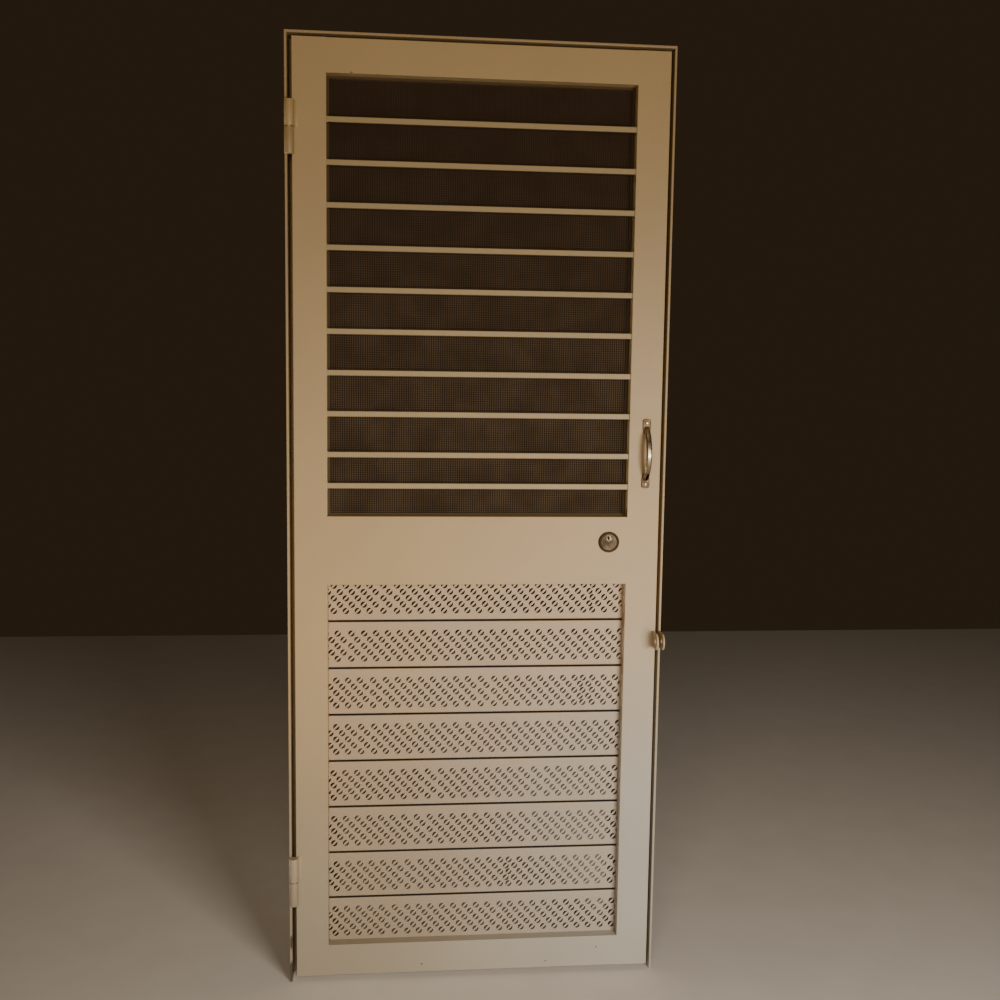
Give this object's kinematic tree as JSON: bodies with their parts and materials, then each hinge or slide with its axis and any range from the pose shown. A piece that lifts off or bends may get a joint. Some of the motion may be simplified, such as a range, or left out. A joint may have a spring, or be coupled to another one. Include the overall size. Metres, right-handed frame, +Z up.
{
  "type": "steel screen door",
  "caption": "Steel screen door with guard bars over fly mesh above, folded perforated planks below, a lock and pull handle, hung in a steel angle frame.",
  "frame": {"origin": "on the outer face of the hinge jamb, at floor level, half way through the jamb's depth", "axes": "+X from the hinge jamb to the lock jamb, +Y from the face to the back, +Z up"},
  "size_m": [0.84, 0.118, 2.1],
  "materials": {
    "frame_paint": "satin enamel, worn at the feet",
    "leaf_paint": "satin beige enamel with light scuffs",
    "mesh": "dark woven fly mesh",
    "channel": "satin enamel",
    "handle": "satin nickel plate",
    "lock_metal": "aged nickel-plated brass",
    "lock_case": "satin enamel",
    "bright_steel": "drawn steel",
    "brass_washer": "turned brass"
  },
  "bodies": {
    "frame": {"hinge_jamb": "frame_paint", "lock_jamb": "frame_paint", "head": "frame_paint", "upper_hinge_pin_half": "frame_paint", "lower_hinge_pin_half": "frame_paint", "hinge_washers": "brass_washer", "frame_padlock_lug": "frame_paint"},
    "leaf": {"hinge_stile": "leaf_paint", "lock_stile": "leaf_paint", "top_rail": "leaf_paint", "mid_rail": "leaf_paint", "bottom_rail": "leaf_paint", "stile_end_plates": "leaf_paint", "guard_bar_01": "leaf_paint", "guard_bar_02": "leaf_paint", "guard_bar_03": "leaf_paint", "guard_bar_04": "leaf_paint", "guard_bar_05": "leaf_paint", "guard_bar_06": "leaf_paint", "guard_bar_07": "leaf_paint", "guard_bar_08": "leaf_paint", "guard_bar_09": "leaf_paint", "guard_bar_10": "leaf_paint", "mesh_channel_stiles": "channel", "mesh_channel_rails": "channel", "mesh_screen": "mesh", "plank_1": "leaf_paint", "plank_2": "leaf_paint", "plank_3": "leaf_paint", "plank_4": "leaf_paint", "plank_5": "leaf_paint", "plank_6": "leaf_paint", "plank_7": "leaf_paint", "plank_8": "leaf_paint", "plank_cleats": "leaf_paint", "upper_hinge_leaf_half": "leaf_paint", "lower_hinge_leaf_half": "leaf_paint", "leaf_padlock_lug": "leaf_paint", "pull_handle": "handle", "handle_screws": "handle", "lock_ring": "lock_metal", "lock_cylinder": "lock_metal", "lock_case": "lock_case", "lock_bolt": "bright_steel"},
    "plug": {"key_plug": "lock_metal"}
  },
  "joints": [
    {"name": "leaf_swing", "type": "hinge", "parent": "frame", "child": "leaf", "pos_m": [0.01, -0.035, 0], "axis": [0, 0, -1], "range_deg": [0, 170]},
    {"name": "key_turn", "type": "hinge", "parent": "leaf", "child": "plug", "pos_m": [0.715, -0.029, 1.0256], "axis": [0, 1, 0], "range_deg": [-90, 90]}
  ]
}
